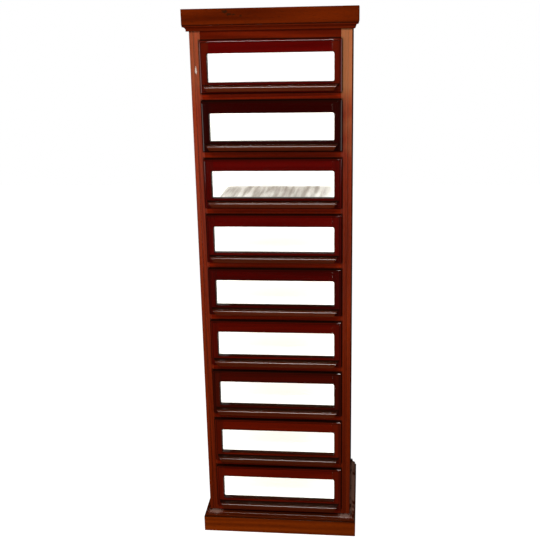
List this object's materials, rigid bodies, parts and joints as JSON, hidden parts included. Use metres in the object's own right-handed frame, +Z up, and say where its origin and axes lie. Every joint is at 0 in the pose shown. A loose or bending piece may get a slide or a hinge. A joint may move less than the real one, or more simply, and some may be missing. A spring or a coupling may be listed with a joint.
{
  "type": "apothecary cabinet",
  "caption": "Tall, narrow free-standing mahogany cabinet with a column of glass-fronted drawers, each opened by a full-width hooded pull, under a moulded cornice and on a plinth.",
  "frame": {"origin": "on the floor, at the middle of the object's width and depth", "axes": "+X to the right seen from the front, +Y from the drawer fronts to the back, +Z up"},
  "size_m": [0.52, 0.419, 1.736],
  "materials": {
    "carcass": "polished red-brown mahogany",
    "drawer_front": "dark red polished mahogany",
    "pull": "dark polished mahogany, rubbed on its edges",
    "drawer_wood": "planed, unfinished pale wood",
    "inner_wood": "sawn and planed softwood, unfinished",
    "lining": "matt white lining paper",
    "glass": "clear window glass",
    "screw": "dull steel"
  },
  "bodies": {
    "carcass": {"left_side": "carcass", "right_side": "carcass", "front_stiles": "carcass", "front_rails": "carcass", "back_boards": "inner_wood", "top_board": "carcass", "bottom_board": "inner_wood", "cornice_fascia": "carcass", "cornice_moulding": "carcass", "plinth_boards": "carcass", "base_moulding": "carcass", "drawer_runners": "inner_wood", "drawer_guides": "inner_wood", "glue_blocks": "inner_wood", "back_screws": "screw"},
    "drawer_1": {"drawer_1_frame": "drawer_front", "drawer_1_glass": "glass", "drawer_1_pull": "pull", "drawer_1_box": "drawer_wood", "drawer_1_bottom": "drawer_wood"},
    "drawer_2": {"drawer_2_frame": "drawer_front", "drawer_2_glass": "glass", "drawer_2_pull": "pull", "drawer_2_box": "drawer_wood", "drawer_2_bottom": "drawer_wood"},
    "drawer_3": {"drawer_3_frame": "drawer_front", "drawer_3_glass": "glass", "drawer_3_pull": "pull", "drawer_3_box": "drawer_wood", "drawer_3_bottom": "drawer_wood"},
    "drawer_4": {"drawer_4_frame": "drawer_front", "drawer_4_glass": "glass", "drawer_4_pull": "pull", "drawer_4_box": "drawer_wood", "drawer_4_bottom": "drawer_wood"},
    "drawer_5": {"drawer_5_frame": "drawer_front", "drawer_5_glass": "glass", "drawer_5_pull": "pull", "drawer_5_box": "drawer_wood", "drawer_5_bottom": "drawer_wood"},
    "drawer_6": {"drawer_6_frame": "drawer_front", "drawer_6_glass": "glass", "drawer_6_pull": "pull", "drawer_6_box": "drawer_wood", "drawer_6_bottom": "drawer_wood"},
    "drawer_7": {"drawer_7_frame": "drawer_front", "drawer_7_glass": "glass", "drawer_7_pull": "pull", "drawer_7_box": "drawer_wood", "drawer_7_bottom": "drawer_wood"},
    "drawer_8": {"drawer_8_frame": "drawer_front", "drawer_8_glass": "glass", "drawer_8_pull": "pull", "drawer_8_box": "drawer_wood", "drawer_8_bottom": "drawer_wood"},
    "drawer_9": {"drawer_9_frame": "drawer_front", "drawer_9_glass": "glass", "drawer_9_pull": "pull", "drawer_9_box": "drawer_wood", "drawer_9_bottom": "drawer_wood"}
  },
  "joints": [
    {"name": "drawer_1_slide", "type": "slide", "parent": "carcass", "child": "drawer_1", "axis": [0, -1, 0], "range_m": [0, 0.28]},
    {"name": "drawer_2_slide", "type": "slide", "parent": "carcass", "child": "drawer_2", "axis": [0, -1, 0], "range_m": [0, 0.28]},
    {"name": "drawer_3_slide", "type": "slide", "parent": "carcass", "child": "drawer_3", "axis": [0, -1, 0], "range_m": [0, 0.28]},
    {"name": "drawer_4_slide", "type": "slide", "parent": "carcass", "child": "drawer_4", "axis": [0, -1, 0], "range_m": [0, 0.28]},
    {"name": "drawer_5_slide", "type": "slide", "parent": "carcass", "child": "drawer_5", "axis": [0, -1, 0], "range_m": [0, 0.28]},
    {"name": "drawer_6_slide", "type": "slide", "parent": "carcass", "child": "drawer_6", "axis": [0, -1, 0], "range_m": [0, 0.28]},
    {"name": "drawer_7_slide", "type": "slide", "parent": "carcass", "child": "drawer_7", "axis": [0, -1, 0], "range_m": [0, 0.28]},
    {"name": "drawer_8_slide", "type": "slide", "parent": "carcass", "child": "drawer_8", "axis": [0, -1, 0], "range_m": [0, 0.28]},
    {"name": "drawer_9_slide", "type": "slide", "parent": "carcass", "child": "drawer_9", "axis": [0, -1, 0], "range_m": [0, 0.28]}
  ]
}
